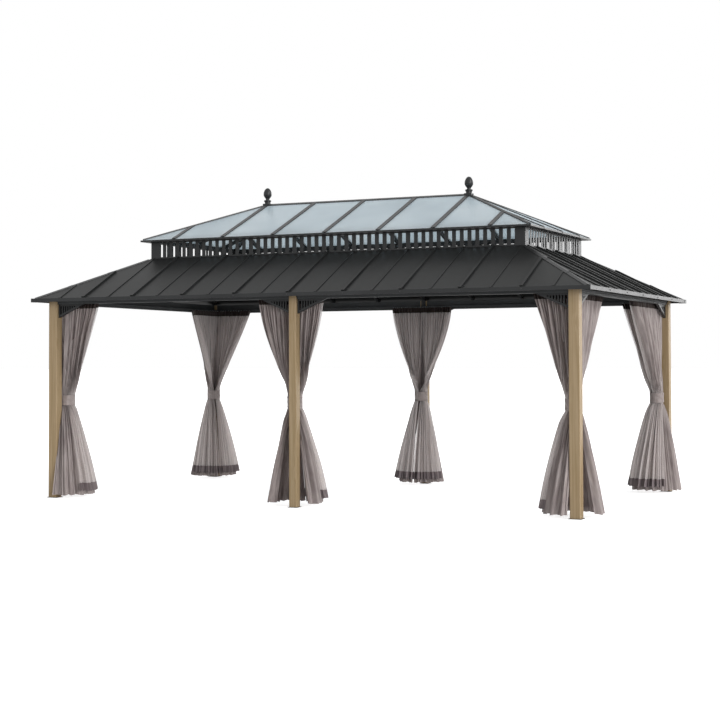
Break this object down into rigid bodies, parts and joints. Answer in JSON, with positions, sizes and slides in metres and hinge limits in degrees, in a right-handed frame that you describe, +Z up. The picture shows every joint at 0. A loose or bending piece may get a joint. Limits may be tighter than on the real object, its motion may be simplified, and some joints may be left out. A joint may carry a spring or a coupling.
{
  "type": "garden gazebo",
  "caption": "Open garden pavilion on wood-effect posts with a ribbed metal hip roof, a slatted frieze, a translucent upper roof and curtains tied back at the posts",
  "frame": {"origin": "on the ground at the middle of the plan", "axes": "+X runs along the long side, -Y is the front, +Z is up"},
  "size_m": [6.126, 3.7, 3.3737],
  "materials": {
    "wood_effect": "wood-effect powder coat on aluminium posts",
    "dark_frame": "matt charcoal powder coat",
    "roof_steel": "charcoal coated steel sheet",
    "polycarbonate": "translucent pale grey-blue twin-wall sheet",
    "curtain_fabric": "taupe woven polyester",
    "tie_fabric": "taupe woven polyester band"
  },
  "bodies": {
    "root": {"post_front_left": "wood_effect", "post_front_middle": "wood_effect", "post_front_right": "wood_effect", "post_rear_left": "wood_effect", "post_rear_middle": "wood_effect", "post_rear_right": "wood_effect", "foot_plates": "dark_frame", "beam_front": "dark_frame", "beam_rear": "dark_frame", "beam_left": "dark_frame", "beam_right": "dark_frame", "splice_straps": "dark_frame", "curtain_tracks": "dark_frame", "gussets_front": "dark_frame", "gussets_rear": "dark_frame", "gussets_ends": "dark_frame", "rafters": "dark_frame", "hip_rafters": "dark_frame", "roof_sheets_front": "roof_steel", "roof_sheets_rear": "roof_steel", "roof_sheets_left": "roof_steel", "roof_sheets_right": "roof_steel", "ribs_front": "roof_steel", "ribs_rear": "roof_steel", "ribs_ends": "roof_steel", "hip_caps": "dark_frame", "eave_trim": "dark_frame", "frieze_front": "dark_frame", "frieze_rear": "dark_frame", "frieze_left": "dark_frame", "frieze_right": "dark_frame", "frieze_corners": "dark_frame", "ring_bars": "dark_frame", "glazing_long": "polycarbonate", "glazing_ends": "polycarbonate", "glazing_bars": "dark_frame", "hip_bars": "dark_frame", "ridge_cap": "dark_frame", "upper_eave_trim": "dark_frame", "finials": "dark_frame", "curtain_front_left": "curtain_fabric", "curtain_front_middle": "curtain_fabric", "curtain_front_right": "curtain_fabric", "curtain_rear_left": "curtain_fabric", "curtain_rear_middle": "curtain_fabric", "curtain_rear_right": "curtain_fabric", "tie_bands": "tie_fabric"}
  },
  "joints": []
}
